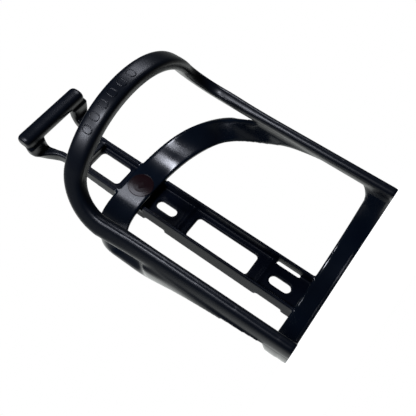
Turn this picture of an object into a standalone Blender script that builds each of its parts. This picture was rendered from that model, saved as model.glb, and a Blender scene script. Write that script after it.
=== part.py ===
"""Bicycle water bottle cage: a one-shot resin moulding, modelled as the members that make it up.

Lengths are in millimetres and are scaled to metres when a mesh is written. The members are drawn about
the bottle: its axis is x = y = 0, the cage's lower edge is z = 0, -Y is the front, where the hoop is, and
+Y is the side that is bolted to the bicycle. The empty cage_frame then sets the row's origin midway
between the two bolt slots, on the plane of the plates' rear faces.
"""

import math

import bmesh
import bpy
from mathutils import Vector

MM = 0.001
GAP = 0.3  # clearance between neighbouring members

# Bottle side
BOTTLE_R = 37.0  # inner radius of the base strap and the side arms
BAND_R = 37.5  # inner radius of the band round the back
SHEET = 2.6  # thickness of the band behind the bottle
WEB_SHEET = 5.4  # thickness where the band has become the web of a side arm

# Bolt slots and the channel between them
SLOT_SPACING = 64.0
LOWER_SLOT_Z = 20.3
UPPER_SLOT_Z = LOWER_SLOT_Z + SLOT_SPACING
SLOT_WIDTH = 5.3
SLOT_LENGTH = 11.6
PLATE_FRONT_Y = 43.8
PLATE_REAR_Y = 46.0
RAIL_X = 9.3  # outer half width of the channel at its front edge
RAIL_DRAFT = 0.11  # how fast the rails spread towards the back
RAIL_WALL = 1.4
RAIL_FRONT_Y = 35.9
RAIL_REAR_Y = 44.85
NOTCH_Y = 43.4  # rear edge of the rails beside each slot
INNER_X = 8.3  # half width of what fits between the rails
RELIEF_X = 7.6  # a narrow slit runs beside each rail from here out
RELIEF_Z = (-5.6, 7.1)  # its ends, counted from the bolt slot's centre
WINDOW_Z = (35.6, 68.4)
WINDOW_HALF = 5.0

# Base strap
STRAP_HEIGHT = 9.0
STRAP_WALL = 2.2
LEDGE_REACH = 2.4
LEDGE_HEIGHT = 1.3
LEDGE_HALF_ANGLE = math.radians(42)

# Band
SADDLE_HALF_ANGLE = math.radians(14.3)
BAND_TOP_Z = 107.3
BAND_BOTTOM_Z = 92.9
WING_END_ANGLE = math.radians(72)
SWELL_ANGLES = (math.radians(36), math.radians(76))  # where the band thickens towards the web
WEB_FOOT_Z = 9.0
WEB_FOOT_Y = -3.0
WEB_RISE = 56.0
WEB_SPREAD = 15.3
WEB_POWER = 2.2
WEB_FRONT_Y = 0.6
BADGE_R = 6.2
BADGE_DEPTH = 0.9

# Hoop and side arms
HOOP_R = 36.1
HOOP_Z = 99.4
HOOP_SECTION = (4.9, 8.6)
CROWN_HALF_ANGLE = math.radians(40)
BEND_START_ANGLE = math.radians(60.5)
BEND_RADIUS = 16.5
ARM_SECTION = (4.6, 5.0)
ARM_TOP_DEPTH = 7.2
ARM_FOOT = (39.1, -4.4)
ARM_FOOT_ANGLE = math.radians(15)

# Sprung hook
HINGE_Z = BAND_TOP_Z + 0.4
HINGE_Y = 44.2
HOOK_RAIL_X = 10.0
HOOK_RAIL_WALL = 2.1
HOOK_RAIL_FRONT_Y = 36.2
HOOK_RAIL_REAR_Y = (44.2, 42.4)  # at the root and at the throat
HOOK_PLATE_Y = (39.6, 42.0)  # front and rear faces of the bars and strips
HOOK_WINDOW_X = 5.4
HOOK_WINDOW_Z = (110.2, 127.8)
THROAT_Z = 132.0
CROSSBAR_Z = 155.0
CROSSBAR_Y = 28.5
CROSSBAR_HALF = 19.2
CROSSBAR_SECTION = (6.4, 8.0)
# A leg's stations up from the throat: y, z, forward lean in degrees, thickness, inner x and outer x
LEG_STATIONS = (
    (39.2, THROAT_Z + GAP, 0, 6.0, 7.9, 10.0),
    (39.1, 141.0, 0, 5.9, 8.0, 10.4),
    (39.0, 145.0, 5, 5.8, 8.8, 11.8),
    (38.6, 148.8, 25, 5.6, 9.8, 15.0),
    (37.2, 151.2, 58, 4.6, 10.3, 18.0),
    (35.0, 152.0, 82, 3.8, 10.3, 19.0),
    (32.3, 152.3, 90, 3.6, 10.3, 19.2),
)

ORIGIN = Vector((0, PLATE_REAR_Y, LOWER_SLOT_Z + SLOT_SPACING / 2))
HINGE = Vector((0, HINGE_Y, HINGE_Z))
RESIN = (0.013, 0.015, 0.021, 1.0)


def clear_scene():
    for obj in list(bpy.data.objects):
        bpy.data.objects.remove(obj)


def empty(name, place, parent=None, parent_place=Vector()):
    obj = bpy.data.objects.new(name, None)
    obj.location = (place - parent_place) * MM
    obj.parent = parent
    bpy.context.scene.collection.objects.link(obj)
    return obj


def resin(name, roughness):
    material = bpy.data.materials.new(name)
    material.use_nodes = True
    shader = material.node_tree.nodes["Principled BSDF"]
    shader.inputs["Base Color"].default_value = RESIN
    shader.inputs["Roughness"].default_value = roughness
    shader.inputs["Metallic"].default_value = 0.0
    return material


class Member:
    """Writes a bmesh as one named object under its parent empty, in metres from that empty's place."""

    def __init__(self, parent, place):
        self.parent = parent
        self.place = place

    def write(self, name, bm, roughness=0.42):
        bmesh.ops.recalc_face_normals(bm, faces=bm.faces)
        bmesh.ops.translate(bm, verts=bm.verts, vec=-self.place)
        bmesh.ops.scale(bm, verts=bm.verts, vec=(MM, MM, MM))
        mesh = bpy.data.meshes.new(name)
        bm.to_mesh(mesh)
        bm.free()
        mesh.shade_smooth()
        mesh.set_sharp_from_angle(angle=math.radians(35))
        mesh.materials.append(resin(name, roughness))
        obj = bpy.data.objects.new(name, mesh)
        obj.parent = self.parent
        bpy.context.scene.collection.objects.link(obj)
        return obj


def cut(obj, cutter):
    cutter.hide_render = True
    cutter.display_type = "WIRE"
    modifier = obj.modifiers.new("cut", "BOOLEAN")
    modifier.operation = "DIFFERENCE"
    modifier.solver = "EXACT"
    modifier.object = cutter


def loft(loops):
    """A closed body through loops of the same number of points, with a flat cap at each end."""
    bm = bmesh.new()
    rows = [[bm.verts.new(point) for point in loop] for loop in loops]
    count = len(rows[0])
    for near, far in zip(rows, rows[1:]):
        for i in range(count):
            j = (i + 1) % count
            bm.faces.new((near[i], near[j], far[j], far[i]))
    bm.faces.new(rows[0])
    bm.faces.new(rows[-1])
    return bm


def block(low, high):
    corners = [(low[0], low[1]), (high[0], low[1]), (high[0], high[1]), (low[0], high[1])]
    return loft([[Vector((x, y, z)) for x, y in corners] for z in (low[2], high[2])])


def side_plate(outline, side, outer, wall, draft=0.0):
    """An outline of (y, z) points as an upright wall; draft spreads it outwards towards the back."""
    y0 = min(y for y, _ in outline)
    loops = []
    for inset in (wall, 0.0):
        loops.append([Vector((side * (outer - inset + draft * (y - y0)), y, z)) for y, z in outline])
    return loft(loops)


def face_plate(outline, y_low, y_high):
    """An outline of (x, z) points, thick along Y."""
    return loft([[Vector((x, y, z)) for x, z in outline] for y in (y_low, y_high)])


def stadium(width, length, centre, steps=8):
    """A slot's outline in (x, z): straight sides along z and half-round ends."""
    radius = width / 2
    reach = length / 2 - radius
    points = []
    for end in (1, -1):
        for i in range(steps + 1):
            angle = math.pi * i / steps + (0 if end > 0 else math.pi)
            points.append(
                (centre[0] + radius * math.cos(angle), centre[1] + end * reach + radius * math.sin(angle))
            )
    return points


def rounded_box(width, height, radius, steps=3):
    """A rounded rectangle's points, about its own centre."""
    points = []
    for quarter, (sx, sy) in enumerate(((1, 1), (-1, 1), (-1, -1), (1, -1))):
        for i in range(steps + 1):
            angle = math.pi / 2 * (quarter + i / steps)
            points.append(
                (
                    sx * (width / 2 - radius) + radius * math.cos(angle),
                    sy * (height / 2 - radius) + radius * math.sin(angle),
                )
            )
    return points


def spread(low, high, steps):
    return [low + (high - low) * i / steps for i in range(steps + 1)]


def mix(a, b, t):
    return a + (b - a) * t


def polar(angle, radius, z):
    """A point at an angle from the back, +Y, towards +X."""
    return Vector((radius * math.sin(angle), radius * math.cos(angle), z))


def sector(angles, inner, wall, low, high):
    """A curved wall: wall, low and high give its thickness, lower edge and upper edge at an angle."""
    loops = []
    for angle in angles:
        outer, z0, z1 = inner + wall(angle), low(angle), high(angle)
        corners = ((inner, z0), (outer, z0), (outer, z1), (inner, z1))
        loops.append([polar(angle, radius, z) for radius, z in corners])
    return loft(loops)


# --- hoop and side arms ---


def mirrored(points, side):
    return [Vector((side * p.x, p.y, p.z)) for p in points]


def section_loop(centre, out, along, size):
    radius = min(size) * 0.33
    return [centre + out * u + along * v for u, v in rounded_box(size[0], size[1], radius)]


def hoop_loop(angle):
    out = Vector((math.sin(angle), -math.cos(angle), 0))
    return section_loop(out * HOOP_R + Vector((0, 0, HOOP_Z)), out, Vector((0, 0, 1)), HOOP_SECTION)


def bend_frame():
    """Where the hoop leaves its circle, and the flat plane in which it bends down."""
    out = Vector((math.sin(BEND_START_ANGLE), -math.cos(BEND_START_ANGLE), 0))
    ahead = Vector((math.cos(BEND_START_ANGLE), math.sin(BEND_START_ANGLE), 0))
    return out * HOOP_R + Vector((0, 0, HOOP_Z)), out, ahead


def bend_loop(turn):
    start, out, ahead = bend_frame()
    up = Vector((0, 0, 1))
    centre = start + ahead * BEND_RADIUS * math.sin(turn) - up * BEND_RADIUS * (1 - math.cos(turn))
    along = up * math.cos(turn) + ahead * math.sin(turn)
    part = turn / (math.pi / 2)
    size = (mix(HOOP_SECTION[0], ARM_SECTION[0], part), mix(HOOP_SECTION[1], ARM_TOP_DEPTH, part))
    return section_loop(centre, out, along, size)


def arm_loop(z):
    """The arm's section at a height: it stands under the bend and turns to face the front at the foot."""
    start, _, ahead = bend_frame()
    top = start + ahead * BEND_RADIUS
    top_z = HOOP_Z - BEND_RADIUS
    part = (top_z - z) / top_z
    lean = mix(math.pi / 2 - BEND_START_ANGLE, ARM_FOOT_ANGLE, part)
    out = Vector((math.cos(lean), -math.sin(lean), 0))
    along = Vector((math.sin(lean), math.cos(lean), 0))
    centre = Vector((mix(top.x, ARM_FOOT[0], part), mix(top.y, ARM_FOOT[1], part), z))
    return section_loop(centre, out, along, (ARM_SECTION[0], mix(ARM_TOP_DEPTH, ARM_SECTION[1], part)))


def hoop_members(cage):
    crown = [hoop_loop(angle) for angle in spread(-CROWN_HALF_ANGLE, CROWN_HALF_ANGLE, 20)]
    cage.write("hoop_crown", loft(crown), 0.45)
    joint_angle = CROWN_HALF_ANGLE + GAP / HOOP_R
    arm_top = HOOP_Z - BEND_RADIUS - GAP
    for side, word in ((-1, "left"), (1, "right")):
        loops = [hoop_loop(angle) for angle in spread(joint_angle, BEND_START_ANGLE, 5)]
        loops += [bend_loop(turn) for turn in spread(0, math.pi / 2, 10)[1:]]
        cage.write(f"hoop_shoulder_{word}", loft([mirrored(loop, side) for loop in loops]), 0.4)
        loops = [arm_loop(z) for z in spread(arm_top, 0, 8)]
        cage.write(f"side_arm_{word}", loft([mirrored(loop, side) for loop in loops]), 0.4)


# --- band round the back, with the webs that carry it into the arms ---


def band_top(angle):
    return BAND_TOP_Z - 11.0 * angle**2 - 2.6 * angle**4


def band_bottom(angle):
    return BAND_BOTTOM_Z - 13.1 * angle**2 - 2.4 * angle**4


def band_wall(angle):
    start, end = SWELL_ANGLES
    share = min(1.0, max(0.0, (abs(angle) - start) / (end - start)))
    return mix(SHEET, WEB_SHEET, share * share * (3 - 2 * share))


def web_bottom(angle):
    """The web's rear edge falls away from the band down to the arm's foot."""
    y = BAND_R * math.cos(angle)
    share = max(0.0, (y - WEB_FOOT_Y) / WEB_SPREAD)
    return WEB_FOOT_Z + WEB_RISE * share ** (1 / WEB_POWER)


def mirror_angles(angles, side):
    return [side * angle for angle in angles]


def band_members(cage):
    spine_gap = GAP / BAND_R
    web_front = math.acos(WEB_FRONT_Y / BAND_R)
    for side, word in ((-1, "left"), (1, "right")):
        wing = mirror_angles(spread(SADDLE_HALF_ANGLE + spine_gap, WING_END_ANGLE, 14), side)
        cage.write(f"back_band_{word}", sector(wing, BAND_R, band_wall, band_bottom, band_top), 0.24)
        web = mirror_angles(spread(WING_END_ANGLE + spine_gap, web_front, 10), side)
        low = lambda angle: min(band_bottom(angle), web_bottom(abs(angle)))
        cage.write(f"side_web_{word}", sector(web, BAND_R, band_wall, low, band_top), 0.3)
    saddle_angles = spread(-SADDLE_HALF_ANGLE, SADDLE_HALF_ANGLE, 6)
    saddle = cage.write("band_saddle", sector(saddle_angles, BAND_R, band_wall, band_bottom, band_top), 0.2)
    middle = (0, (BAND_TOP_Z + BAND_BOTTOM_Z) / 2)
    pocket = face_plate(round_outline(BADGE_R + GAP, middle), 30, BAND_R + BADGE_DEPTH)
    cut(saddle, cage.write("badge_pocket", pocket))
    badge = face_plate(round_outline(BADGE_R, middle), BAND_R - 0.55, BAND_R + BADGE_DEPTH - GAP)
    cage.write("band_badge", badge, 0.25)


def round_outline(radius, centre, steps=28):
    turns = [2 * math.pi * i / steps for i in range(steps)]
    return [(centre[0] + radius * math.cos(a), centre[1] + radius * math.sin(a)) for a in turns]


# --- channel that is bolted to the bicycle ---


def rail_outline():
    """(y, z) outline of a rail: notched behind at each slot, and let in behind the saddle and the strap."""
    strap_back = BOTTLE_R + STRAP_WALL + GAP
    saddle_back = BAND_R + SHEET + GAP
    low_notch = (LOWER_SLOT_Z - 6.8, LOWER_SLOT_Z + 6.2)
    high_notch = (UPPER_SLOT_Z - 6.2, UPPER_SLOT_Z + 4.8)
    outline = [(strap_back, 1.5), (RAIL_REAR_Y, 3.5)]
    for bottom, top in (low_notch, high_notch):
        outline += [(RAIL_REAR_Y, bottom), (NOTCH_Y, bottom + 0.5), (NOTCH_Y, top), (RAIL_REAR_Y, top + 1.2)]
    saddle_foot = BAND_BOTTOM_Z - 1.6
    outline += [(RAIL_REAR_Y, BAND_TOP_Z - 0.8), (HINGE_Y, BAND_TOP_Z), (saddle_back, BAND_TOP_Z)]
    outline += [(saddle_back, saddle_foot), (RAIL_FRONT_Y, saddle_foot)]
    outline += [(RAIL_FRONT_Y, STRAP_HEIGHT + GAP), (strap_back, STRAP_HEIGHT + GAP)]
    return outline


def plate_outline(bottom, top, slot_z):
    """A bolt plate in (x, z), with a narrow slit left open next to each rail."""
    low, high = slot_z + RELIEF_Z[0], slot_z + RELIEF_Z[1]
    right = [(INNER_X, bottom), (INNER_X, low), (RELIEF_X, low)]
    right += [(RELIEF_X, high), (INNER_X, high), (INNER_X, top)]
    return right + [(-x, z) for x, z in reversed(right)]


def bolt_plate(cage, name, bottom, top, slot_z):
    outline = plate_outline(bottom, top, slot_z)
    plate = cage.write(name, face_plate(outline, PLATE_FRONT_Y, PLATE_REAR_Y), 0.45)
    slot = face_plate(stadium(SLOT_WIDTH, SLOT_LENGTH, (0, slot_z)), PLATE_FRONT_Y - 1, PLATE_REAR_Y + 1)
    cut(plate, cage.write(name + "_slot", slot))


def channel_members(cage):
    for side, word in ((-1, "left"), (1, "right")):
        rail = side_plate(rail_outline(), side, RAIL_X, RAIL_WALL, RAIL_DRAFT)
        cage.write(f"spine_rail_{word}", rail, 0.4)
        low, high = sorted((side * WINDOW_HALF, side * INNER_X))
        strip = block((low, PLATE_FRONT_Y, WINDOW_Z[0]), (high, PLATE_REAR_Y, WINDOW_Z[1]))
        cage.write(f"window_strip_{word}", strip, 0.45)
    bolt_plate(cage, "lower_bolt_plate", STRAP_HEIGHT + GAP, 28.6, LOWER_SLOT_Z)
    bolt_plate(cage, "upper_bolt_plate", 75.6, BAND_TOP_Z, UPPER_SLOT_Z)
    for name, low, high in (
        ("lower_window_sill", 28.9, WINDOW_Z[0] - GAP),
        ("upper_window_sill", WINDOW_Z[1] + GAP, 75.3),
    ):
        cage.write(name, block((-INNER_X, PLATE_FRONT_Y - 0.8, low), (INNER_X, PLATE_REAR_Y, high)), 0.45)


# --- base strap ---


def strap_members(cage):
    seam = GAP / BOTTLE_R
    arm_rear = math.acos((ARM_FOOT[1] + ARM_SECTION[1] / 2 + 0.6) / BOTTLE_R)
    wall = lambda angle: STRAP_WALL
    floor = lambda angle: 0.0
    top = lambda angle: STRAP_HEIGHT
    for side, word in ((-1, "left"), (1, "right")):
        angles = mirror_angles(spread(SADDLE_HALF_ANGLE + seam, arm_rear, 16), side)
        cage.write(f"base_strap_{word}", sector(angles, BOTTLE_R, wall, floor, top), 0.3)
    middle = spread(-SADDLE_HALF_ANGLE, SADDLE_HALF_ANGLE, 6)
    cage.write("base_strap_centre", sector(middle, BOTTLE_R, wall, floor, top), 0.3)
    ledge = spread(-LEDGE_HALF_ANGLE, LEDGE_HALF_ANGLE, 14)
    reach = lambda angle: LEDGE_REACH
    ledge_top = lambda angle: LEDGE_HEIGHT
    inner = BOTTLE_R - GAP - LEDGE_REACH
    cage.write("bottle_ledge", sector(ledge, inner, reach, floor, ledge_top))


# --- sprung hook that snaps over the bottle's shoulder ---


def leg_loops(side):
    """A leg runs up from the throat, flares outwards and bends forward to the crossbar."""
    loops = []
    for y, z, lean, thickness, inner, outer in LEG_STATIONS:
        lean = math.radians(lean)
        across = Vector((0, math.cos(lean), math.sin(lean)))
        centre = Vector((side * (inner + outer) / 2, y, z))
        points = rounded_box(outer - inner, thickness, 0.8)
        loops.append([centre + Vector((side * u, 0, 0)) + across * v for u, v in points])
    return loops


def hook_rail(side):
    root, throat = HOOK_RAIL_REAR_Y
    outline = [(HOOK_RAIL_FRONT_Y, HINGE_Z + GAP), (root, HINGE_Z + GAP), (throat, THROAT_Z)]
    outline.append((HOOK_RAIL_FRONT_Y, THROAT_Z))
    return side_plate(outline, side, HOOK_RAIL_X, HOOK_RAIL_WALL)


def hook_members(hook):
    root_z = HINGE_Z + GAP
    half = HOOK_RAIL_X - HOOK_RAIL_WALL - GAP
    front, rear = HOOK_PLATE_Y
    for side, word in ((-1, "left"), (1, "right")):
        hook.write(f"hook_rail_{word}", hook_rail(side), 0.4)
        low, high = sorted((side * HOOK_WINDOW_X, side * half))
        strip = block((low, front, HOOK_WINDOW_Z[0] + GAP), (high, rear, HOOK_WINDOW_Z[1] - GAP))
        hook.write(f"hook_strip_{word}", strip, 0.45)
        hook.write(f"hook_leg_{word}", loft(leg_loops(side)), 0.42)
    hook.write("hook_root_bar", block((-half, front, root_z), (half, rear, HOOK_WINDOW_Z[0])), 0.45)
    throat = block((-half, HOOK_RAIL_FRONT_Y + 1.0, HOOK_WINDOW_Z[1]), (half, rear, THROAT_Z))
    hook.write("hook_throat_bar", throat, 0.45)
    width, height = CROSSBAR_SECTION
    bar = []
    for x in (-CROSSBAR_HALF, CROSSBAR_HALF):
        centre = Vector((x, CROSSBAR_Y, CROSSBAR_Z))
        bar.append([centre + Vector((0, u, v)) for u, v in rounded_box(width, height, 2.0)])
    hook.write("hook_crossbar", loft(bar), 0.45)


def main():
    clear_scene()
    frame = empty("cage_frame", Vector())
    pivot = empty("hook_hinge", HINGE, frame, ORIGIN)
    cage = Member(frame, ORIGIN)
    hoop_members(cage)
    band_members(cage)
    channel_members(cage)
    strap_members(cage)
    hook_members(Member(pivot, HINGE))


main()
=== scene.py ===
"""Looks of a bicycle water bottle cage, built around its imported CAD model.

The cage is one resin moulding with a sprung hook at the top of its spine. Its members are drawn here in
millimetres about the bottle's axis (x = y = 0, lower edge z = 0, -Y the front, +Y the side bolted to the
bicycle), fused with soft fillets as the mould makes them, and cut apart again at the members' ends, so that
each piece stands for its own CAD node. The members overlap where they join, and softening rounds their edges.
"""

import math

import bmesh
import bpy
from mathutils import Matrix, Vector


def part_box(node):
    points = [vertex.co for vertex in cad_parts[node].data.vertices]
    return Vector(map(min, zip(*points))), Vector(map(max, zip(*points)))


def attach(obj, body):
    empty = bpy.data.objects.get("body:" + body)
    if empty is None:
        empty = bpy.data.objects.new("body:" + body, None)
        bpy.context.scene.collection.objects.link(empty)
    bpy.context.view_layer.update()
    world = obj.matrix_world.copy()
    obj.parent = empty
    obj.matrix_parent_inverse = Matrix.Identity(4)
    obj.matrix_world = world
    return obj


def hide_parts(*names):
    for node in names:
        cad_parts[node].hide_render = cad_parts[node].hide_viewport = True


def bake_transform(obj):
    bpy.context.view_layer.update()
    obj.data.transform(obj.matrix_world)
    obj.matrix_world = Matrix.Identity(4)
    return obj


MM = 0.001
UP = Vector((0, 0, 1))

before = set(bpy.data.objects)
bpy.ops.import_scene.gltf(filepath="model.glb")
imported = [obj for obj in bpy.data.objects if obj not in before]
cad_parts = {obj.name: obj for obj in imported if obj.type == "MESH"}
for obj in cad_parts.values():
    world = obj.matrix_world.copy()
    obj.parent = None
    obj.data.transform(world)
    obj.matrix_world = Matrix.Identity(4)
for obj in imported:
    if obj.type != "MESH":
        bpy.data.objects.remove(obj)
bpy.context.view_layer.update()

# Places taken from the frame: the bottle's axis, the lower edge and the heights of the members
HOOP_REACH = 0.03855  # in metres, from the bottle's axis to the front of the hoop
ORIGIN = Vector((0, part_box("hoop_crown")[0].y + HOOP_REACH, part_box("base_strap_centre")[0].z))


def height_of(node, side):
    """A CAD node's lowest (0) or highest (1) point, in millimetres above the cage's lower edge."""
    return (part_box(node)[side].z - ORIGIN.z) / MM


STRAP_HEIGHT = height_of("base_strap_centre", 1)
BAND_TOP_Z = height_of("band_saddle", 1)
BADGE_Z = (height_of("band_badge", 0) + height_of("band_badge", 1)) / 2
BADGE_R = (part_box("band_badge")[1].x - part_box("band_badge")[0].x) / 2 / MM
HOOP_Z = (height_of("hoop_crown", 0) + height_of("hoop_crown", 1)) / 2 + 0.2
WINDOW_Z = (height_of("window_strip_left", 0), height_of("window_strip_left", 1))
HINGE_Z = height_of("hook_root_bar", 0)

# The moulding's skin: its voxel, the rounds of softening, and the further rounds for its shading
VOXEL = 0.4
SOFTEN = 10
SHADING_SOFTEN = 16

# Hoop and side arms. A section is (thickness, depth), and a higher power makes it squarer. The arm moves in,
# thins and rounds from the bend down to these shares of its height.
HOOP_R = 36.2
HOOP_FRONT_R = 36.1
HOOP_SECTION = (5.2, 8.9)
HOOP_POWER = 4.0
BEND_START = math.radians(60.5)
BEND_RADIUS = 16.5
ARM_TOP_Z = HOOP_Z - BEND_RADIUS
ARM_TOP_DEPTH = 8.2
ARM_SECTION = (4.6, 7.2)
ARM_POWER = 2.8
ARM_INSET = 0.3
ARM_INSET_END = 0.2
ARM_THIN_END = 0.35
ARM_ROUND_END = 0.3
ARM_CURVE = 0.75
ARM_FOOT = (37.95, -6.2)
ARM_FOOT_Z = -0.4
ARM_FOOT_TURN = math.radians(15)

# Raised marks on the hoop: how many, where, how large, how deep they are set, and their profile as
# (inset, height) pairs
MARK_COUNT = 6
MARK_ANGLES = (math.radians(-35), math.radians(4))
MARK_SIZE = (3.0, 4.4)
MARK_SINK = 0.1
MARK_PROFILE = ((0.0, -0.2), (0.05, 0.12), (0.25, 0.2), (0.5, 0.12), (0.55, -0.2))

# Band round the back. An edge is its height over the saddle's top at the back, and how it falls with the
# square and the fourth power of the angle.
BAND_R = 37.5
BAND_WALL = 2.6
BAND_REACH = math.radians(95)
BAND_TOP = (0.45, 11.0, 2.6)
BAND_BOTTOM = (-13.8, 13.1, 2.4)

# Webs that carry the band into the arms: the angles over which they begin, the rear edge's curve down to
# the foot, the wall's swelling, the bevel and thin end at the arm, and the pocket behind the bend
WEB_START = (1.0, 1.35)
WEB_EDGE_Y = -3.0
WEB_EDGE_DEPTH = 15.3
WEB_EDGE_Z = 9.0
WEB_EDGE_RISE = 56.0
WEB_EDGE_POWER = 2.2
WEB_WALL = 5.9
WEB_FOOT_WALL = 4.1
WEB_FOOT_SWELL = 0.6
WEB_FOOT_Z = (8, 30)
WEB_HEAD_Z = (45, 68)
SWELL = (math.radians(32), math.radians(72))
SWELL_EDGE = (-0.5, 3.0)
WEB_BEVEL = 3.0
WEB_BEVEL_ANGLES = (math.radians(78), math.radians(88))
WEB_END_WALL = 4.2
WEB_END = (math.radians(88), BAND_REACH)
POCKET_WALL = 2.2
POCKET_ANGLES = (math.radians(75), math.radians(83))
POCKET_Z = (60.0, 65.5)

# Base strap round the bottle, the gussets at its ends (angles in degrees), and the ledge that the bottle
# stands on, which is fused by itself at a finer voxel
BOTTLE_R = 37.0
STRAP_WALL = 2.3
STRAP_REACH = math.radians(99)
STRAP_Z = (-0.8, STRAP_HEIGHT + 0.1)
GUSSET_ANGLES = (77, 96)
GUSSET_FOOT = 4
GUSSET_RISE = 4.6
GUSSET_WALL = (0.1, 2.6)
LEDGE_REACH = math.radians(42)
LEDGE_WALL = (-2.7, 0.3)
LEDGE_Z = (-0.1, 1.4)
LEDGE_VOXEL = 0.3
LEDGE_SOFTEN = 4

# Channel that is bolted to the bicycle. A notch is the rail's cut below and above a slot's middle, and the
# ribs and rims stand on the plate's front.
SLOT_Z = (20.3, 84.7)
SLOT = (4.8, 11.1)
PLATE_Y = (43.2, 45.3)
RAIL_X = 9.5
RAIL_DRAFT = 0.11
RAIL_WALL = 1.4
RAIL_FRONT_Y = 35.9
RAIL_REAR_Y = 44.85
NOTCH_Y = 43.4
NOTCHES = ((-6.8, 6.2), (-6.2, 4.8))
WINDOW_HALF = 5.75
WINDOW_CORNER = 1.7
SADDLE_FOOT_Z = 91.5
SLIT_X = (7.7, 8.1)
SLIT_OUTER_X = 9.05
SLIT_Z = (-5.6, 7.1)
RIBS_Z = ((28.7, 30.0), (73.4, 75.0))
RIB_RISE = 0.7
RIM_RISE = 0.35
RIM_WIDTH = 1.0
RIB_ROOT = 0.5

# Hook. The crossbar's section shrinks over its last stretch to a share of its depth and height.
HOOK_RAIL_X = 10.0
HOOK_RAIL_WALL = 2.1
HOOK_FRONT_Y = 36.2
HOOK_REAR_Y = (44.8, 42.6)
HOOK_PLATE_Y = (39.6, 42.0)
HOOK_WINDOW = (5.6, 110.4, 128.7)  # half width, lower edge and upper edge
HOOK_WINDOW_Y = (30, 50)  # through the plate and past it
THROAT_Z = 132.0
BAR_Y = 28.5
BAR_Z = 155.4
BAR_HALF = 19.5
BAR_SECTION = (6.7, 8.3)
BAR_POWER = 2.6
BAR_END = 2.2
BAR_TIP = (0.55, 0.6)
BAR_TIP_LEAST = 0.12
LEG_POWER = 6.0
# The legs' stations up from the throat: y, z, forward lean in degrees, thickness, inner x and outer x
LEG_STATIONS = (
    (39.5, THROAT_Z - 2.0, 0, 6.0, 7.9, 10.0),
    (39.6, 141.0, 0, 5.9, 8.0, 10.4),
    (39.7, 145.0, 5, 5.8, 8.8, 11.8),
    (39.3, 148.8, 25, 5.8, 9.5, 14.6),
    (37.9, 151.3, 58, 4.8, 10.0, 17.4),
    (35.2, 152.4, 82, 4.0, 10.2, 19.0),
    (30.5, 152.4, 90, 3.8, 10.3, 19.5),
)

# Where the skin is cut into members: angles from the back in degrees, heights, depths, and distances from
# the middle plane
SHOULDER_CUT = 140
WEB_CUT = 73
BACK_CUT = 44
SADDLE_CUT = 15.2
STRAP_CUT = 14.8
BAND_FOOT_CUT = 55
FOOT_CUT = STRAP_HEIGHT + 0.2
SILL_CUTS = (28.7, 75.4)
SADDLE_LOW = SADDLE_FOOT_Z - 0.3
SADDLE_REAR_Y = BAND_R + BAND_WALL + 0.2
SHOULDER_REAR_Y = 5
ARM_REAR_Y = 0.35
CHANNEL_Y = 30
CROSSBAR_Y = (10, 32.4)
RAIL_INSIDE = HOOK_RAIL_X - HOOK_RAIL_WALL
SPINE_OUTSIDE = 11.2
HOOK_OUTSIDE = 20
HOOK_REACH = 40
FAR = 90.0  # well outside the cage
LOW = -5.0  # below it
HIGH = FAR * 2  # above it

# Members that come as a right one and a left one, the channel's members, whose weaker sheen is painted shade,
# and those with a glossier finish than the rest
PAIRED = (
    "hoop_shoulder",
    "side_arm",
    "side_web",
    "back_band",
    "base_strap",
    "spine_rail",
    "window_strip",
    "hook_rail",
    "hook_strip",
    "hook_leg",
)
CHANNEL = ("spine_rail", "lower_", "upper_", "window_strip", "hook_r", "hook_strip")
POLISHED = ("band_saddle", "back_band", "side_web", "base_strap")

# Resin finishes: colour, roughness, grain and sheen
SATIN_RESIN = ((0.0026, 0.0050, 0.0110), 0.31, 0.015, 0.5)
# Painted shade: the channel's resin has a weaker sheen, which dims its reflections to stand for the shade
# that its rails lie in
CHANNEL_PAINTED_SHADE_RESIN = ((0.0028, 0.0050, 0.0120), 0.36, 0.015, 0.13)
POLISHED_RESIN = ((0.0032, 0.0066, 0.0140), 0.15, 0.008, 0.5)
BADGE_PRINT = ((0.012, 0.0035, 0.0055), 0.2, 0.01, 0.5)

# Their slow drift and fine grain: the noise's scale and detail, and what it does
DRIFT_NOISE = (90.0, 3.0)
DRIFT_GLOSS = (-0.06, 0.08)
DRIFT_TINT = 1.7
GRAIN_NOISE = (1800.0, 2.0)
GRAIN_DEPTH = 0.00004

# Soft lamps, all aimed at the frame's origin: azimuth from the front, -Y, towards +X; elevation; size; watts
LAMP_DISTANCE = 0.9
LAMP_COLOUR = (0.86, 0.89, 1.0)
LAMPS = {
    "key": (42, 24, 0.3, 1.35),
    "fill": (-24, 19, 0.14, 1.95),
    "side": (-47, 29, 0.12, 1.3),
    "key_glint": (45, 22, 0.02, 0.06),
    "fill_glint": (-25, 21, 0.02, 0.06),
}

# How bright the room is from the front (0) through the sides (0.5) to straight behind the cage (1)
WORLD_STOPS = ((0.0, 0.012), (0.5, 0.015), (0.7, 0.14), (0.86, 0.8), (0.98, 0.85))
WORLD_TINT = (0.97, 1.0, 0.98)
WORLD_STRENGTH = 1.15

# The camera: its place in metres, turn in degrees, lens in millimetres, and shift
CAMERA_PLACE = (-0.094438, -0.236935, -0.051422)
CAMERA_TURN = (115.889, 54.013, -2.936)
CAMERA_LENS = 47.88
CAMERA_SHIFT = (0.0012, 0.0009)

# The floor, in metres: its innermost and outermost rings, and its gap under the cage
FLOOR_RADII = (0.02, 3.0)
FLOOR_SIDES = 64
FLOOR_GAP = 0.0002


# --- mesh helpers ---


def mix(a, b, t):
    return a + (b - a) * t


def smooth_step(low, high, value):
    t = min(1.0, max(0.0, (value - low) / (high - low)))
    return t * t * (3 - 2 * t)


def spread(low, high, steps):
    return [mix(low, high, i / steps) for i in range(steps + 1)]


def polar(angle, radius, z):
    """A point at an angle from the back, +Y, towards +X."""
    return Vector((radius * math.sin(angle), radius * math.cos(angle), z))


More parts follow.
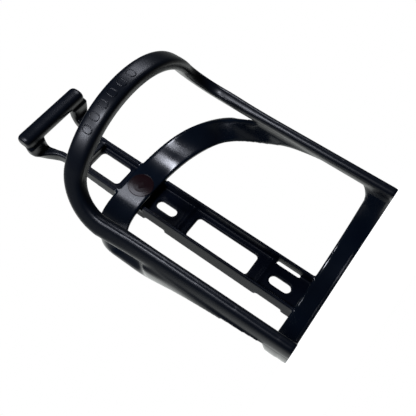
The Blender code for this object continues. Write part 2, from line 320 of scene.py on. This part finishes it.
def skin(bm, rows):
    """Joins each row of vertices to the next with a strip of faces round the body."""
    count = len(rows[0])
    faces = []
    for near, far in zip(rows, rows[1:]):
        for i in range(count):
            j = (i + 1) % count
            faces.append(bm.faces.new((near[i], near[j], far[j], far[i])))
    return faces


def loft(bm, loops):
    """Adds a closed body through loops of the same number of points."""
    rows = [[bm.verts.new(point) for point in loop] for loop in loops]
    faces = skin(bm, rows)
    faces.append(bm.faces.new(rows[0]))
    faces.append(bm.faces.new(rows[-1]))
    bmesh.ops.recalc_face_normals(bm, faces=faces)


def loft_round(bm, loops):
    """Adds a closed ring-shaped body: the last loop joins the first."""
    rows = [[bm.verts.new(point) for point in loop] for loop in loops]
    bmesh.ops.recalc_face_normals(bm, faces=skin(bm, rows + rows[:1]))


def superellipse(width, height, power, steps=36):
    """An oval's points; a higher power squares it."""
    points = []
    for i in range(steps):
        angle = 2 * math.pi * i / steps
        c, s = math.cos(angle), math.sin(angle)
        across = math.copysign(abs(c) ** (2 / power), c) * width / 2
        along = math.copysign(abs(s) ** (2 / power), s) * height / 2
        points.append((across, along))
    return points


def rounded_box(low, high, radius, steps=6):
    """A rounded rectangle's points between two corners."""
    points = []
    for quarter, (right, top) in enumerate(((1, 1), (0, 1), (0, 0), (1, 0))):
        cx = high[0] - radius if right else low[0] + radius
        cy = high[1] - radius if top else low[1] + radius
        for i in range(steps + 1):
            angle = math.pi / 2 * (quarter + i / steps)
            points.append((cx + radius * math.cos(angle), cy + radius * math.sin(angle)))
    return points


def prism(bm, outline, y_low, y_high):
    """Adds a body with an (x, z) outline between two depths."""
    loft(bm, [[Vector((x, y, z)) for x, z in outline] for y in (y_low, y_high)])


def mirrored(points, side):
    return [Vector((side * p.x, p.y, p.z)) for p in points]


def show(obj):
    """Links an object into the scene."""
    bpy.context.scene.collection.objects.link(obj)
    return obj


def mesh_object(name, bm):
    mesh = bpy.data.meshes.new(name)
    bm.to_mesh(mesh)
    bm.free()
    return show(bpy.data.objects.new(name, mesh))


def duplicate(obj):
    twin = obj.copy()
    twin.data = obj.data.copy()
    return show(twin)


def bake(obj):
    """Replaces an object's mesh with what its modifiers make of it."""
    bpy.context.view_layer.update()
    graph = bpy.context.evaluated_depsgraph_get()
    mesh = bpy.data.meshes.new_from_object(obj.evaluated_get(graph))
    old = obj.data
    obj.modifiers.clear()
    obj.data = mesh
    if old.users == 0:
        bpy.data.meshes.remove(old)


def carve(obj, cutter):
    """Cuts the cutter's bodies out of the object and removes the cutter."""
    modifier = obj.modifiers.new("carve", "BOOLEAN")
    modifier.operation = "DIFFERENCE"
    modifier.object = cutter
    bake(obj)
    bpy.data.objects.remove(cutter)


def fuse(objects, name, voxel=VOXEL, soften=SOFTEN):
    """Melts overlapping bodies into one skin with soft fillets where they meet."""
    bm = bmesh.new()
    for obj in objects:
        bm.from_mesh(obj.data)
        bpy.data.objects.remove(obj)
    fused = mesh_object(name, bm)
    remesh = fused.modifiers.new("fuse", "REMESH")
    remesh.mode = "VOXEL"
    remesh.voxel_size = voxel
    smooth = fused.modifiers.new("soften", "SMOOTH")
    smooth.factor = 0.5
    smooth.iterations = soften
    bake(fused)
    return fused


# --- hoop and side arms ---


def section(centre, out, along, size, power):
    """A tube's section, with its thickness outwards and its depth along the other way."""
    return [centre + out * u + along * v for u, v in superellipse(*size, power)]


def hoop_out(angle):
    """The way out from the bottle's axis, at an angle from the front."""
    return Vector((math.sin(angle), -math.cos(angle), 0))


def hoop_centre(angle):
    return Vector((HOOP_R * math.sin(angle), -HOOP_FRONT_R * math.cos(angle), HOOP_Z))


def hoop_station(angle):
    return section(hoop_centre(angle), hoop_out(angle), UP, HOOP_SECTION, HOOP_POWER)


def bend_frame():
    """Where the bend from the hoop into the arm begins, and its directions out and ahead."""
    ahead = Vector((math.cos(BEND_START), math.sin(BEND_START), 0))
    return hoop_centre(BEND_START), hoop_out(BEND_START), ahead


def bend_station(turn):
    start, out, ahead = bend_frame()
    centre = start + ahead * BEND_RADIUS * math.sin(turn) - UP * BEND_RADIUS * (1 - math.cos(turn))
    along = UP * math.cos(turn) + ahead * math.sin(turn)
    part = turn / (math.pi / 2)
    size = (HOOP_SECTION[0], mix(HOOP_SECTION[1], ARM_TOP_DEPTH, part))
    return section(centre, out, along, size, HOOP_POWER)


def arm_station(z):
    """The arm thins to a blade below the bend and leans forward down to its foot."""
    start, _, ahead = bend_frame()
    top = start + ahead * BEND_RADIUS
    part = (ARM_TOP_Z - z) / ARM_TOP_Z
    lean = mix(math.pi / 2 - BEND_START, ARM_FOOT_TURN, part)
    out = Vector((math.cos(lean), -math.sin(lean), 0))
    along = Vector((math.sin(lean), math.cos(lean), 0))
    forward = part**ARM_CURVE
    centre = Vector((mix(top.x, ARM_FOOT[0], forward), mix(top.y, ARM_FOOT[1], forward), z))
    centre -= out * ARM_INSET * smooth_step(0, ARM_INSET_END, part)
    thickness = mix(HOOP_SECTION[0], ARM_SECTION[0], smooth_step(0, ARM_THIN_END, part))
    size = (thickness, mix(ARM_TOP_DEPTH, ARM_SECTION[1], part))
    power = mix(HOOP_POWER, ARM_POWER, smooth_step(0, ARM_ROUND_END, part))
    return section(centre, out, along, size, power)


def hoop_and_arms():
    """One tube from foot to foot: up an arm, round the bend, over the crown and down again."""
    half = [hoop_station(angle) for angle in spread(0, BEND_START, 30)]
    half += [bend_station(turn) for turn in spread(0, math.pi / 2, 24)[1:]]
    half += [arm_station(z) for z in spread(ARM_TOP_Z, ARM_FOOT_Z, 24)[1:]]
    bm = bmesh.new()
    other = [mirrored(loop, -1) for loop in half[1:]]
    loft(bm, other[::-1] + half)
    return mesh_object("hoop", bm)


def on_hoop(angle, v, proud):
    """A point on the hoop's outer face, at an angle from the front and above its middle."""
    return hoop_centre(angle) + hoop_out(angle) * (HOOP_SECTION[0] / 2 - MARK_SINK + proud) + UP * v


def hoop_marks():
    """A row of plain raised rings on the hoop's outer face."""
    bm = bmesh.new()
    for i in range(MARK_COUNT):
        middle = mix(*MARK_ANGLES, i / (MARK_COUNT - 1))
        rows = []
        for inset, proud in MARK_PROFILE:
            half = (MARK_SIZE[0] / 2 - inset, MARK_SIZE[1] / 2 - inset)
            outline = rounded_box((-half[0], -half[1]), half, half[0] - 0.01, 8)
            rows.append([on_hoop(middle + u / HOOP_R, v, proud) for u, v in outline])
        loft_round(bm, rows)
    return mesh_object("hoop_marks", bm)


# --- band round the back and the webs that carry it into the arms ---


def band_edge(edge, angle):
    """The height of one of the band's edges at an angle."""
    rise, square, fourth = edge
    return BAND_TOP_Z + rise - square * angle**2 - fourth * angle**4


def web_bottom(angle):
    """The web's rear edge falls away from the band down to the arm's foot."""
    share = max(0.0, (BAND_R * math.cos(angle) - WEB_EDGE_Y) / WEB_EDGE_DEPTH)
    return WEB_EDGE_Z + WEB_EDGE_RISE * share ** (1 / WEB_EDGE_POWER)


def band_low(angle):
    """The lower edge, which passes smoothly from the band's to the web's."""
    return mix(band_edge(BAND_BOTTOM, angle), web_bottom(angle), smooth_step(*WEB_START, abs(angle)))


def band_wall(angle, z):
    """The wall swells towards the arm, less at its upper edge and foot, with a pocket behind the bend."""
    turn = abs(angle)
    foot = WEB_FOOT_SWELL * smooth_step(*WEB_FOOT_Z, z)
    head = (WEB_WALL - WEB_FOOT_WALL - WEB_FOOT_SWELL) * smooth_step(*WEB_HEAD_Z, z)
    full = WEB_FOOT_WALL + foot + head
    edge = smooth_step(*SWELL_EDGE, band_edge(BAND_TOP, angle) - z)
    wall = mix(BAND_WALL, full, smooth_step(*SWELL, turn) * edge)
    pocket = smooth_step(*POCKET_ANGLES, turn) * smooth_step(*POCKET_Z, z)
    taper = mix(WEB_WALL, WEB_END_WALL, smooth_step(*WEB_END, turn))
    return min(mix(wall, POCKET_WALL, pocket), taper)


def band_section(angle):
    """The band's section at an angle: up its outer side and down its inner side."""
    low, high = band_low(angle), band_edge(BAND_TOP, angle)
    outside = [polar(angle, BAND_R + band_wall(angle, z), z) for z in spread(low, high, 24)]
    bevel = WEB_BEVEL * smooth_step(*WEB_BEVEL_ANGLES, abs(angle))
    inside = [polar(angle, BAND_R, z) for z in spread(high, low + bevel, 24)]
    return outside + inside


def band_and_webs():
    bm = bmesh.new()
    loft(bm, [band_section(angle) for angle in spread(-BAND_REACH, BAND_REACH, 150)])
    return mesh_object("band", bm)


# --- badge on the band's saddle ---


def on_band(u, v, proud):
    """A point on the band's inner face, across and up from the badge's centre, standing proud of it."""
    return polar(u / BAND_R, BAND_R - proud, BADGE_Z + v)


def badge_circle(radius, proud, steps=48):
    angles = [2 * math.pi * i / steps for i in range(steps)]
    return [on_band(radius * math.cos(a), radius * math.sin(a), proud) for a in angles]


def badge():
    """A round inset badge: a thin disc, a rim and a plain diamond of two steps."""
    disc = ((BADGE_R, -0.5), (BADGE_R, 0.05), (BADGE_R - 0.15, 0.1), (BADGE_R - 2.4, 0.1), (0.6, 0.1))
    rim = ((BADGE_R - 0.75, 0.0), (BADGE_R - 0.6, 0.25), (BADGE_R - 0.2, 0.25), (BADGE_R, 0.0))
    bm = bmesh.new()
    loft(bm, [badge_circle(*stage) for stage in disc])
    loft_round(bm, [badge_circle(*stage) for stage in rim])
    for half, low, high in ((2.1, 0.0, 0.28), (1.5, 0.28, 0.34)):
        diamond = ((half, 0), (0, half * 0.8), (-half, 0), (0, -half * 0.8))
        loft(bm, [[on_band(u, v, proud) for u, v in diamond] for proud in (low, high)])
    return mesh_object("moulded_band_badge", bm)


# --- base strap ---


def box_section(angle, inner, outer, low, high):
    """A rectangle at an angle from the back, between two radii and two heights."""
    outline = ((inner, low), (outer, low), (outer, high), (inner, high))
    return [polar(angle, radius, z) for radius, z in outline]


def ring(bm, reach, steps, inner, outer, low, high):
    """Adds a curved wall to both sides of the back."""
    loft(bm, [box_section(angle, inner, outer, low, high) for angle in spread(-reach, reach, steps)])


def gusset(bm, side):
    """The swept corner between a foot and the strap's upper edge."""
    inner, outer = (BOTTLE_R + wall for wall in GUSSET_WALL)
    loops = []
    for t in spread(0, 1, 8):
        angle = math.radians(mix(*GUSSET_ANGLES, t))
        top = STRAP_HEIGHT + GUSSET_RISE * t * t
        loops.append(box_section(side * angle, inner, outer, GUSSET_FOOT, top))
    loft(bm, loops)


def base_strap():
    bm = bmesh.new()
    ring(bm, STRAP_REACH, 90, BOTTLE_R, BOTTLE_R + STRAP_WALL, *STRAP_Z)
    for side in (-1, 1):
        gusset(bm, side)
    return mesh_object("strap", bm)


def ledge():
    """The lip inside the strap that the bottle's base rests on."""
    bm = bmesh.new()
    ring(bm, LEDGE_REACH, 60, BOTTLE_R + LEDGE_WALL[0], BOTTLE_R + LEDGE_WALL[1], *LEDGE_Z)
    lip = fuse([mesh_object("ledge", bm)], "moulded_bottle_ledge", LEDGE_VOXEL, LEDGE_SOFTEN)
    lip.data.shade_smooth()
    return lip


# --- channel that is bolted to the bicycle ---


def rail_outline():
    """(y, z) outline of a rail, notched behind at each slot."""
    outline = [(BOTTLE_R + 0.6, 1.5), (RAIL_REAR_Y, 3.5)]
    for middle, (below, above) in zip(SLOT_Z, NOTCHES):
        bottom, top = middle + below, middle + above
        outline += [(RAIL_REAR_Y, bottom), (NOTCH_Y, bottom + 0.5)]
        outline += [(NOTCH_Y, top), (RAIL_REAR_Y, top + 1.2)]
    outline += [(RAIL_REAR_Y, BAND_TOP_Z - 0.8), (HOOK_REAR_Y[0], BAND_TOP_Z + 0.5)]
    outline += [(BAND_R + 1.3, BAND_TOP_Z - 0.6), (BAND_R + 1.3, SADDLE_FOOT_Z)]
    outline += [(RAIL_FRONT_Y, SADDLE_FOOT_Z), (RAIL_FRONT_Y, STRAP_HEIGHT - 1)]
    return outline + [(BOTTLE_R + 0.6, STRAP_HEIGHT - 1.5)]


def rail(bm, side):
    """A side wall of the channel, which spreads a little towards the bicycle."""
    loops = []
    for inset in (RAIL_WALL, 0.0):
        loop = []
        for y, z in rail_outline():
            x = RAIL_X - inset + RAIL_DRAFT * (y - RAIL_FRONT_Y)
            loop.append(Vector((side * x, y, z)))
        loops.append(loop)
    loft(bm, loops)


def stadium(centre_z, grow=0.0):
    """A bolt slot's outline, or one a little larger all round."""
    width, length = SLOT[0] + 2 * grow, SLOT[1] + 2 * grow
    low = (-width / 2, centre_z - length / 2)
    high = (width / 2, centre_z + length / 2)
    return rounded_box(low, high, width / 2 - 0.001, 10)


def channel_floor():
    bm = bmesh.new()
    half = RAIL_X - 0.4
    prism(bm, rounded_box((-half, STRAP_HEIGHT - 6), (half, BAND_TOP_Z), 0.5), *PLATE_Y)
    return mesh_object("channel_floor", bm)


def channel_openings():
    """The window, the bolt slots and a narrow slit on each side of each slot."""
    bm = bmesh.new()
    before, behind = PLATE_Y[0] - 3, PLATE_Y[1] + 3
    low = (-WINDOW_HALF, WINDOW_Z[0] - 0.2)
    high = (WINDOW_HALF, WINDOW_Z[1] + 1.1)
    prism(bm, rounded_box(low, high, WINDOW_CORNER), before, behind)
    for z, inner in zip(SLOT_Z, SLIT_X):
        prism(bm, stadium(z), before, behind)
        for side in (-1, 1):
            left, right = sorted((side * inner, side * SLIT_OUTER_X))
            slit = rounded_box((left, z + SLIT_Z[0]), (right, z + SLIT_Z[1]), 0.4)
            prism(bm, slit, before, behind)
    return mesh_object("channel_openings", bm)


def sills():
    """Raised ribs across the channel between the window and the slots, and a low rim round each slot."""
    bm = bmesh.new()
    front = PLATE_Y[0]
    inner = RAIL_X - 0.6
    for low, high in RIBS_Z:
        prism(bm, rounded_box((-inner, low), (inner, high), 0.4), front - RIB_RISE, front + RIB_ROOT)
    for z in SLOT_Z:
        prism(bm, stadium(z, RIM_WIDTH), front - RIM_RISE, front + RIB_ROOT)
    return mesh_object("sills", bm)


def channel():
    """The channel's bodies, which overlap: its floor, its ribs and its two rails."""
    floor = channel_floor()
    ribs = sills()
    cutter = channel_openings()
    twin = duplicate(cutter)
    carve(floor, cutter)
    carve(ribs, twin)
    bm = bmesh.new()
    for side in (-1, 1):
        rail(bm, side)
    return [floor, ribs, mesh_object("rails", bm)]


# --- sprung hook ---


def hook_rail(bm, side):
    root, throat = HOOK_REAR_Y
    outline = [(HOOK_FRONT_Y + 1.5, BAND_TOP_Z - 2.0), (root, BAND_TOP_Z - 2.0), (throat, THROAT_Z)]
    outline += [(HOOK_FRONT_Y, THROAT_Z), (HOOK_FRONT_Y, BAND_TOP_Z + 1.0)]
    loops = []
    for x in (RAIL_INSIDE, HOOK_RAIL_X):
        loops.append([Vector((side * x, y, z)) for y, z in outline])
    loft(bm, loops)


def curve(p, q, r, s, t):
    """A value on a smooth curve from q to r, which comes from p and goes on to s."""
    linear = (r - p) * t
    square = (2 * p - 5 * q + 4 * r - s) * t**2
    cube = (3 * q - p - 3 * r + s) * t**3
    return 0.5 * (2 * q + linear + square + cube)


def between(stations, steps):
    """Stations on a smooth curve through the given ones."""
    found = []
    for i in range(len(stations) - 1):
        before = stations[max(0, i - 1)]
        after = stations[min(len(stations) - 1, i + 2)]
        around = list(zip(before, stations[i], stations[i + 1], after))
        for t in spread(0, 1, steps)[:-1]:
            found.append([curve(*values, t) for values in around])
    return found + [list(stations[-1])]


def hook_leg(bm, side):
    loops = []
    for y, z, lean, thickness, inner, outer in between(LEG_STATIONS, 6):
        lean = math.radians(lean)
        across = Vector((0, math.cos(lean), math.sin(lean)))
        centre = Vector((side * (inner + outer) / 2, y, z))
        oval = superellipse(outer - inner + 0.7, thickness + 0.5, LEG_POWER, 28)
        loops.append([centre + Vector((side * u, 0, 0)) + across * v for u, v in oval])
    loft(bm, loops)


def throat_bar(bm):
    half = HOOK_RAIL_X - 0.4
    outline = rounded_box((-half, HOOK_WINDOW[2] + 0.5), (half, THROAT_Z), 1.6)
    prism(bm, outline, HOOK_FRONT_Y + 0.6, HOOK_PLATE_Y[1])


def crossbar(bm):
    """The bar that drops into the bottle's groove, rounded over at its ends."""
    loops = []
    for x in spread(-BAR_HALF, BAR_HALF, 40):
        end = min(1.0, (BAR_HALF - abs(x)) / BAR_END)
        shrink = math.sqrt(max(BAR_TIP_LEAST, 1 - (1 - end) ** 2))
        size = [full * mix(tip, 1, shrink) for full, tip in zip(BAR_SECTION, BAR_TIP)]
        loops.append([Vector((x, BAR_Y + u, BAR_Z + v)) for u, v in superellipse(*size, BAR_POWER)])
    loft(bm, loops)


def hook_plate():
    """The plate between the hook's rails, with its window."""
    bm = bmesh.new()
    half = HOOK_RAIL_X - 1.0
    prism(bm, rounded_box((-half, BAND_TOP_Z - 2), (half, THROAT_Z), 0.4), *HOOK_PLATE_Y)
    plate = mesh_object("hook_plate", bm)
    half, low, high = HOOK_WINDOW
    bm = bmesh.new()
    prism(bm, rounded_box((-half, low), (half, high), 2.2), *HOOK_WINDOW_Y)
    carve(plate, mesh_object("hook_window", bm))
    return plate


def hook():
    """The hook's bodies, which overlap: its frame of rails, legs and bars, and its plate."""
    bm = bmesh.new()
    for side in (-1, 1):
        hook_rail(bm, side)
        hook_leg(bm, side)
    throat_bar(bm)
    crossbar(bm)
    return [mesh_object("hook_arms", bm), hook_plate()]


# --- cutting the moulding apart at its members' ends ---


def far_point(degrees):
    """An (x, y) point well outside the cage, at an angle from the back."""
    point = polar(math.radians(degrees), FAR, 0)
    return (point.x, point.y)


def in_plan(outline, low, high):
    """A space with an (x, y) outline between two heights."""
    return [[Vector((x, y, z)) for x, y in outline] for z in (low, high)]


def in_side(outline, inner, outer):
    """A space with a (y, z) outline between two distances from the middle plane."""
    return [[Vector((x, y, z)) for y, z in outline] for x in (inner, outer)]


def slab(inner, outer, low, high):
    """A space across the channel."""
    return in_plan([(inner, CHANNEL_Y), (outer, CHANNEL_Y), (outer, FAR), (inner, FAR)], low, high)


def under_saddle(low):
    """(y, z) outline of the channel from a height up to the hinge, leaving the saddle's wall out."""
    rear = [(CHANNEL_Y, low), (FAR, low), (FAR, HINGE_Z)]
    return rear + [(SADDLE_REAR_Y, HINGE_Z), (SADDLE_REAR_Y, SADDLE_LOW), (CHANNEL_Y, SADDLE_LOW)]


def hoop_spaces():
    """The spaces of the members from foot to foot over the front."""
    crown = [(0, 0), far_point(SHOULDER_CUT), far_point(180), far_point(360 - SHOULDER_CUT)]
    shoulder = [(0, 0), far_point(SHOULDER_CUT), (FAR, -FAR), (FAR, SHOULDER_REAR_Y), (0, SHOULDER_REAR_Y)]
    arm = [(0, ARM_REAR_Y), (0, -FAR), (FAR, -FAR), (FAR, ARM_REAR_Y)]
    return {
        "hoop_crown": in_plan(crown, ARM_TOP_Z, HIGH),
        "hoop_shoulder": in_plan(shoulder, ARM_TOP_Z, HIGH),
        "side_arm": in_plan(arm, LOW, ARM_TOP_Z),
    }


def band_and_base_spaces():
    """The spaces of the members round the back and the base."""
    half = SADDLE_REAR_Y * math.tan(math.radians(SADDLE_CUT))
    saddle = [(0, 0), (half, SADDLE_REAR_Y), (-half, SADDLE_REAR_Y)]
    web = [(2, ARM_REAR_Y), (FAR, ARM_REAR_Y), far_point(WEB_CUT)]
    back = [(0, 0), far_point(WEB_CUT), far_point(BACK_CUT), far_point(SADDLE_CUT)]
    strap = [(0.1, ARM_REAR_Y), (FAR, ARM_REAR_Y), far_point(BACK_CUT), far_point(STRAP_CUT)]
    centre = [(0, 0), far_point(STRAP_CUT), far_point(-STRAP_CUT)]
    return {
        "side_web": in_plan(web, FOOT_CUT, ARM_TOP_Z),
        "back_band": in_plan(back, BAND_FOOT_CUT, HINGE_Z),
        "band_saddle": in_plan(saddle, SADDLE_LOW, HINGE_Z),
        "base_strap": in_plan(strap, LOW, FOOT_CUT),
        "base_strap_centre": in_plan(centre, LOW, FOOT_CUT),
    }


def channel_spaces():
    """The spaces of the members bolted to the bicycle, up to the hinge."""
    window_low, window_high = WINDOW_Z[0] + 0.1, WINDOW_Z[1] + 0.4
    return {
        "spine_rail": in_side(under_saddle(FOOT_CUT), RAIL_INSIDE, SPINE_OUTSIDE),
        "lower_bolt_plate": slab(-RAIL_INSIDE, RAIL_INSIDE, FOOT_CUT, SILL_CUTS[0]),
        "lower_window_sill": slab(-RAIL_INSIDE, RAIL_INSIDE, SILL_CUTS[0], window_low),
        "window_strip": slab(0, RAIL_INSIDE, window_low, window_high),
        "upper_window_sill": slab(-RAIL_INSIDE, RAIL_INSIDE, window_high, SILL_CUTS[1]),
        "upper_bolt_plate": in_side(under_saddle(SILL_CUTS[1]), -RAIL_INSIDE, RAIL_INSIDE),
    }


def hook_spaces():
    """The spaces of the members above the hinge."""
    _, window_low, window_high = HOOK_WINDOW
    front, rear = CROSSBAR_Y
    leg = [(0, rear), (HOOK_REACH, rear), (HOOK_REACH, FAR), (0, FAR)]
    bar = [(-HOOK_REACH, rear), (HOOK_REACH, rear), (HOOK_REACH, front), (-HOOK_REACH, front)]
    return {
        "hook_root_bar": slab(-RAIL_INSIDE, RAIL_INSIDE, HINGE_Z, window_low),
        "hook_strip": slab(0, RAIL_INSIDE, window_low, window_high),
        "hook_throat_bar": slab(-RAIL_INSIDE, RAIL_INSIDE, window_high, THROAT_Z),
        "hook_rail": slab(RAIL_INSIDE, HOOK_OUTSIDE, HINGE_Z, THROAT_Z),
        "hook_leg": in_plan(leg, THROAT_Z, HIGH),
        "hook_crossbar": in_plan(bar, THROAT_Z, HIGH),
    }


def part_off(moulding, shading, name, loops):
    """The moulding's part inside a space, as a closed piece that keeps the whole skin's shading."""
    bm = bmesh.new()
    loft(bm, loops)
    space = mesh_object("space", bm)
    piece = show(moulding.copy())
    piece.name = "moulded_" + name
    modifier = piece.modifiers.new("part", "BOOLEAN")
    modifier.operation = "INTERSECT"
    modifier.solver = "MANIFOLD"
    modifier.object = space
    normals = piece.modifiers.new("shading", "DATA_TRANSFER")
    normals.object = shading
    normals.use_loop_data = True
    normals.data_types_loops = {"CUSTOM_NORMAL"}
    normals.loop_mapping = "POLYINTERP_NEAREST"
    bake(piece)
    bpy.data.objects.remove(space)
    return piece


def softer(moulding):
    """A smoother copy of the skin, whose normals hide the voxels."""
    copy = duplicate(moulding)
    extra = copy.modifiers.new("soften", "SMOOTH")
    extra.iterations = SHADING_SOFTEN
    bake(copy)
    return copy


def split_by_member(moulding):
    """Cuts the skin apart. A paired member's space is the right one's, and the left mirrors it."""
    moulding.data.shade_smooth()
    shading = softer(moulding)
    spaces = hoop_spaces() | band_and_base_spaces() | channel_spaces() | hook_spaces()
    pieces = {}
    for name, loops in spaces.items():
        if name not in PAIRED:
            pieces[name] = part_off(moulding, shading, name, loops)
            continue
        for side, word in ((1, "right"), (-1, "left")):
            paired = f"{name}_{word}"
            pieces[paired] = part_off(moulding, shading, paired, [mirrored(loop, side) for loop in loops])
    bpy.data.objects.remove(moulding)
    bpy.data.objects.remove(shading)
    return pieces


# --- materials ---


def noise(tree, place, scale, detail):
    node = tree.nodes.new("ShaderNodeTexNoise")
    node.inputs["Scale"].default_value = scale
    node.inputs["Detail"].default_value = detail
    tree.links.new(place, node.inputs["Vector"])
    return node.outputs["Fac"]


def resin(name, colour, roughness, grain, sheen):
    """Moulded resin: gloss and tint drift slowly over the surface, and a fine grain breaks up the gloss."""
    material = bpy.data.materials.new(name)
    material.use_nodes = True
    tree = material.node_tree
    shader = tree.nodes["Principled BSDF"]
    shader.inputs["Specular IOR Level"].default_value = sheen
    place = tree.nodes.new("ShaderNodeTexCoord").outputs["Object"]
    drift = noise(tree, place, *DRIFT_NOISE)
    gloss = tree.nodes.new("ShaderNodeMapRange")
    gloss.inputs["To Min"].default_value = roughness + DRIFT_GLOSS[0]
    gloss.inputs["To Max"].default_value = roughness + DRIFT_GLOSS[1]
    tree.links.new(drift, gloss.inputs["Value"])
    tree.links.new(gloss.outputs["Result"], shader.inputs["Roughness"])
    tint = tree.nodes.new("ShaderNodeMix")
    tint.data_type = "RGBA"
    tint.inputs["A"].default_value = (*colour, 1)
    tint.inputs["B"].default_value = (*(c * DRIFT_TINT for c in colour), 1)
    tree.links.new(drift, tint.inputs["Factor"])
    tree.links.new(tint.outputs["Result"], shader.inputs["Base Color"])
    bump = tree.nodes.new("ShaderNodeBump")
    bump.inputs["Strength"].default_value = grain
    bump.inputs["Distance"].default_value = GRAIN_DEPTH
    tree.links.new(noise(tree, place, *GRAIN_NOISE), bump.inputs["Height"])
    tree.links.new(bump.outputs["Normal"], shader.inputs["Normal"])
    return material


# --- pieces ---


def add_to(obj, detail):
    """Joins small raised bodies to a piece."""
    detail.data.shade_smooth()
    with bpy.context.temp_override(active_object=obj, selected_editable_objects=[obj, detail]):
        bpy.ops.object.join()


def finish_piece(obj, node, material):
    """Scales a finished piece into the frame and hides its CAD node; a hook piece stays unattached, the rest
    go on the cage's body.
    """
    obj.data.transform(Matrix.Translation(ORIGIN) @ Matrix.Scale(MM, 4))
    obj.data.materials.clear()
    obj.data.materials.append(material)
    obj.data.polygons.foreach_set("material_index", [0] * len(obj.data.polygons))
    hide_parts(node)
    if node.startswith("hook"):
        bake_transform(obj)
    else:
        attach(obj, "cage")


def build_cage():
    satin = resin("satin_resin", *SATIN_RESIN)
    # painted shade: the channel's copy of the resin has a weaker sheen, so that its reflections look shaded
    channel_painted_shade = resin("channel_painted_shade_resin", *CHANNEL_PAINTED_SHADE_RESIN)
    polished = resin("polished_resin", *POLISHED_RESIN)
    moulding = fuse([hoop_and_arms(), band_and_webs(), base_strap(), *channel(), *hook()], "cage_moulding")
    pieces = split_by_member(moulding)
    pieces["bottle_ledge"] = ledge()
    add_to(pieces["hoop_crown"], hoop_marks())
    for name, obj in pieces.items():
        if name.startswith(POLISHED):
            finish_piece(obj, name, polished)
        # the channel's pieces take the resin whose weaker sheen is painted shade
        elif name.startswith(CHANNEL):
            finish_piece(obj, name, channel_painted_shade)
        else:
            finish_piece(obj, name, satin)
    finish_piece(badge(), "band_badge", resin("badge_print", *BADGE_PRINT))


# --- studio ---


def plain_floor():
    """A pale round floor just under the cage, which doesn't show in the cage's gloss."""
    bm = bmesh.new()
    angles = spread(0, 2 * math.pi, FLOOR_SIDES)[:-1]
    rows = []
    for radius in spread(*FLOOR_RADII, 20):
        rows.append([bm.verts.new((radius * math.cos(a), radius * math.sin(a), 0)) for a in angles])
    for near, far in zip(rows, rows[1:]):
        for i in range(FLOOR_SIDES):
            j = (i + 1) % FLOOR_SIDES
            bm.faces.new((near[i], far[i], far[j], near[j]))
    bm.faces.new(rows[0])
    floor = mesh_object("floor", bm)
    floor.location.z = ORIGIN.z - FLOOR_GAP
    material = bpy.data.materials.new("pale_floor")
    material.use_nodes = True
    shader = material.node_tree.nodes["Principled BSDF"]
    shader.inputs["Base Color"].default_value = (0.86, 0.86, 0.86, 1)
    shader.inputs["Roughness"].default_value = 0.9
    shader.inputs["Emission Color"].default_value = (1, 1, 1, 1)
    shader.inputs["Emission Strength"].default_value = 0.9
    floor.data.materials.append(material)
    floor.visible_glossy = False
    floor.visible_diffuse = False


def soft_light(name, azimuth, elevation, size, watts):
    """A square soft lamp."""
    light = bpy.data.lights.new(name, "AREA")
    light.shape = "SQUARE"
    light.color = LAMP_COLOUR
    light.size = size
    light.energy = watts
    lamp = bpy.data.objects.new(name, light)
    around, up = math.radians(azimuth), math.radians(elevation)
    away = Vector((math.sin(around) * math.cos(up), -math.cos(around) * math.cos(up), math.sin(up)))
    lamp.location = away * LAMP_DISTANCE
    lamp.rotation_euler = away.to_track_quat("Z", "Y").to_euler()
    show(lamp)


def room_ramp(nodes, links):
    """The room's colour from front to back, after WORLD_STOPS."""
    ray = nodes.new("ShaderNodeTexCoord")
    parts = nodes.new("ShaderNodeSeparateXYZ")
    links.new(ray.outputs["Generated"], parts.inputs["Vector"])
    turn = nodes.new("ShaderNodeMapRange")
    turn.inputs["From Min"].default_value = -1.0
    links.new(parts.outputs["Y"], turn.inputs["Value"])
    ramp = nodes.new("ShaderNodeValToRGB")
    ramp.color_ramp.interpolation = "EASE"
    stops = ramp.color_ramp.elements
    while len(stops) < len(WORLD_STOPS):
        stops.new(1.0)
    for stop, (place, level) in zip(stops, WORLD_STOPS):
        stop.position = place
        stop.color = (*(level * tint for tint in WORLD_TINT), 1)
    links.new(turn.outputs["Result"], ramp.inputs["Fac"])
    return ramp.outputs["Color"]


def studio_world():
    """Pale all round to look at; what it casts on the cage is dim in front and bright behind."""
    world = bpy.data.worlds.new("studio")
    world.use_nodes = True
    nodes = world.node_tree.nodes
    links = world.node_tree.links
    nodes.clear()
    colour = room_ramp(nodes, links)
    cast = nodes.new("ShaderNodeBackground")
    cast.inputs["Strength"].default_value = WORLD_STRENGTH
    links.new(colour, cast.inputs["Color"])
    seen = nodes.new("ShaderNodeBackground")
    seen.inputs["Strength"].default_value = 1.0
    seen.inputs["Color"].default_value = (1, 1, 1, 1)
    path = nodes.new("ShaderNodeLightPath")
    choose = nodes.new("ShaderNodeMixShader")
    links.new(path.outputs["Is Camera Ray"], choose.inputs["Fac"])
    links.new(cast.outputs["Background"], choose.inputs[1])
    links.new(seen.outputs["Background"], choose.inputs[2])
    out = nodes.new("ShaderNodeOutputWorld")
    links.new(choose.outputs["Shader"], out.inputs["Surface"])
    bpy.context.scene.world = world


def camera():
    view = bpy.data.cameras.new("camera")
    view.lens = CAMERA_LENS
    view.sensor_width = 36.0
    view.shift_x, view.shift_y = CAMERA_SHIFT
    view.clip_start = 0.01
    eye = bpy.data.objects.new("camera", view)
    eye.location = CAMERA_PLACE
    eye.rotation_euler = [math.radians(a) for a in CAMERA_TURN]
    bpy.context.scene.camera = show(eye)


build_cage()
plain_floor()
for name, lamp in LAMPS.items():
    soft_light(name, *lamp)
studio_world()
camera()
bpy.context.scene.view_settings.view_transform = "Standard"
